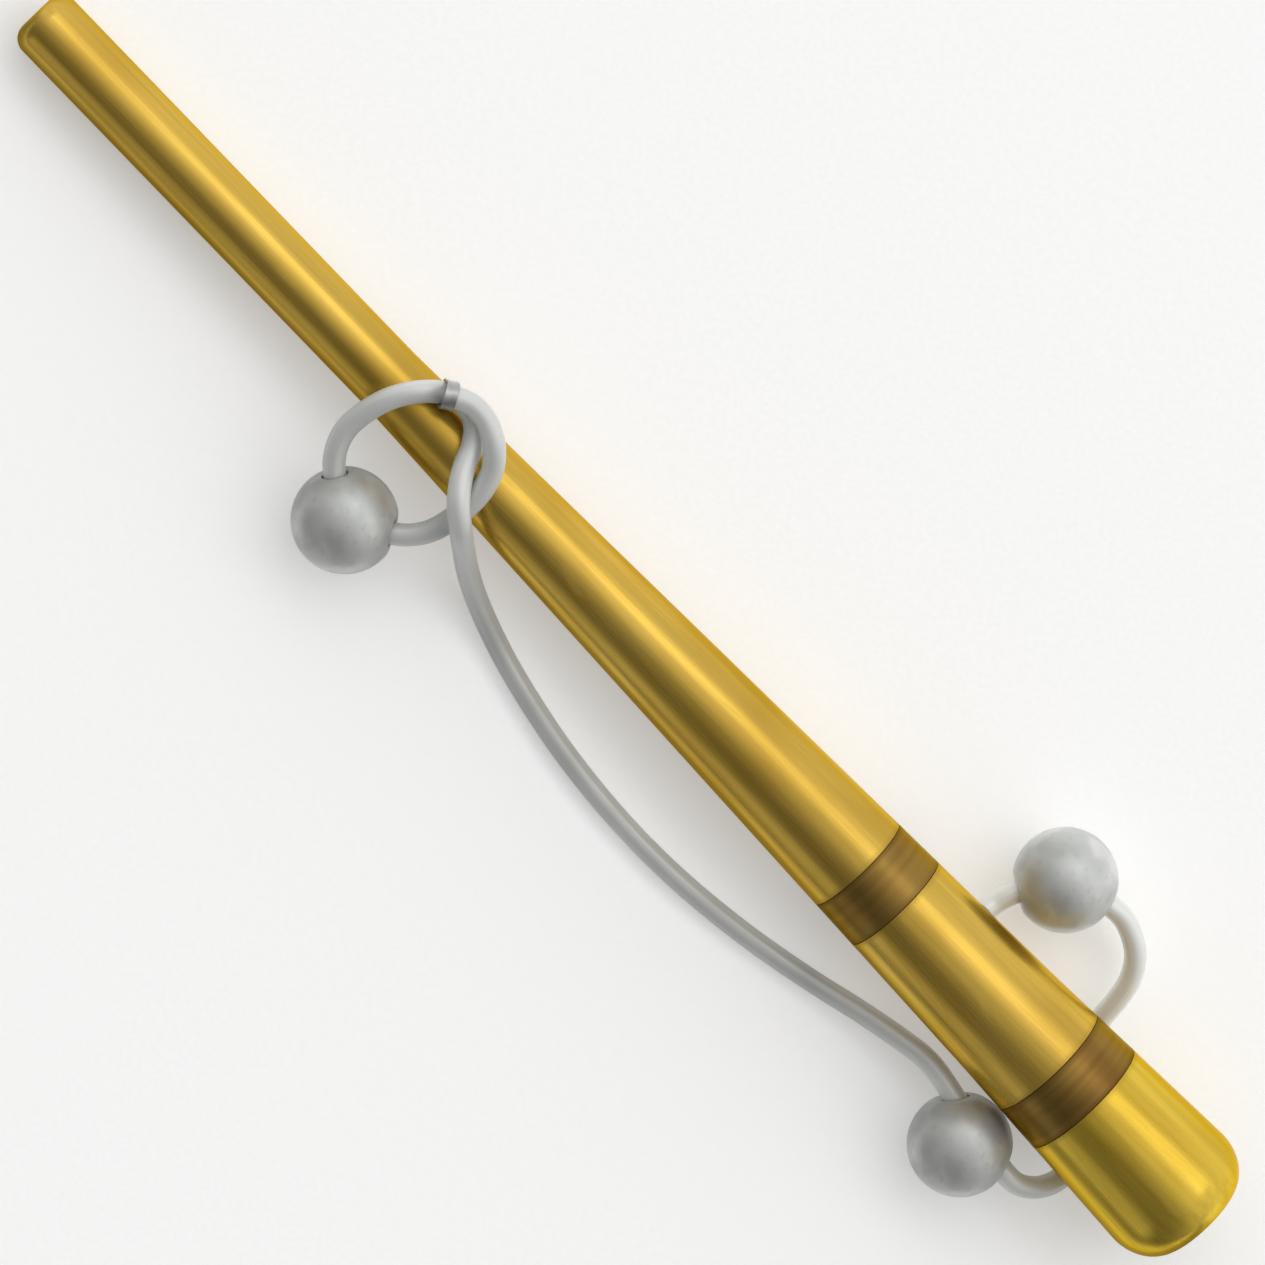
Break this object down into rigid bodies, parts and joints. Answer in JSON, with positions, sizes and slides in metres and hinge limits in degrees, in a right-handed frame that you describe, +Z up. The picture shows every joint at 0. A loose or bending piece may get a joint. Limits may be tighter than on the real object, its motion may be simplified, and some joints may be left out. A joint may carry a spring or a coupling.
{
  "type": "magic wand",
  "caption": "Tapered gilt wand with two dark flush bands and a rounded pommel, with a silver cord looped over and under it that carries sliding balls.",
  "frame": {"origin": "under the middle of the wand, on the table it lies on", "axes": "+X along the wand from its tip to its butt, +Z up, +Y towards the side where the cord's bow stands out"},
  "size_m": [0.3502, 0.0783, 0.037],
  "materials": {
    "gold": "satin gilt lacquer over turned metal",
    "bright_gold": "polished gilt lacquer over turned metal",
    "bronze": "dark bronze satin",
    "steel": "turned steel rod",
    "silver": "satin silver",
    "silver_cord": "smooth satin silver cord"
  },
  "bodies": {
    "wand": {"shaft": "gold", "upper_band": "bronze", "grip": "gold", "lower_band": "bronze", "pommel": "bright_gold", "core_rod": "steel", "cord_bush": "bronze", "cord": "silver_cord", "loop_crimp": "silver"},
    "ring_ball": {"ring_ball": "silver"},
    "side_ball": {"side_ball": "silver"},
    "lower_ball": {"lower_ball": "silver"}
  },
  "joints": [
    {"name": "ring_ball_slide", "type": "hinge", "parent": "wand", "child": "ring_ball", "pos_m": [-0.0563, -0.0111, 0.01754], "axis": [0, -0.3746, 0.9272], "range_deg": [-12, 12]},
    {"name": "side_ball_slide", "type": "hinge", "parent": "wand", "child": "side_ball", "pos_m": [0.1176, 0.0123, 0.0074], "axis": [0.1079, -0.1361, 0.9848], "range_deg": [-10, 10]},
    {"name": "lower_ball_slide", "type": "slide", "parent": "wand", "child": "lower_ball", "axis": [0.9845, -0.1757, 0], "range_m": [-0.004, 0]}
  ]
}
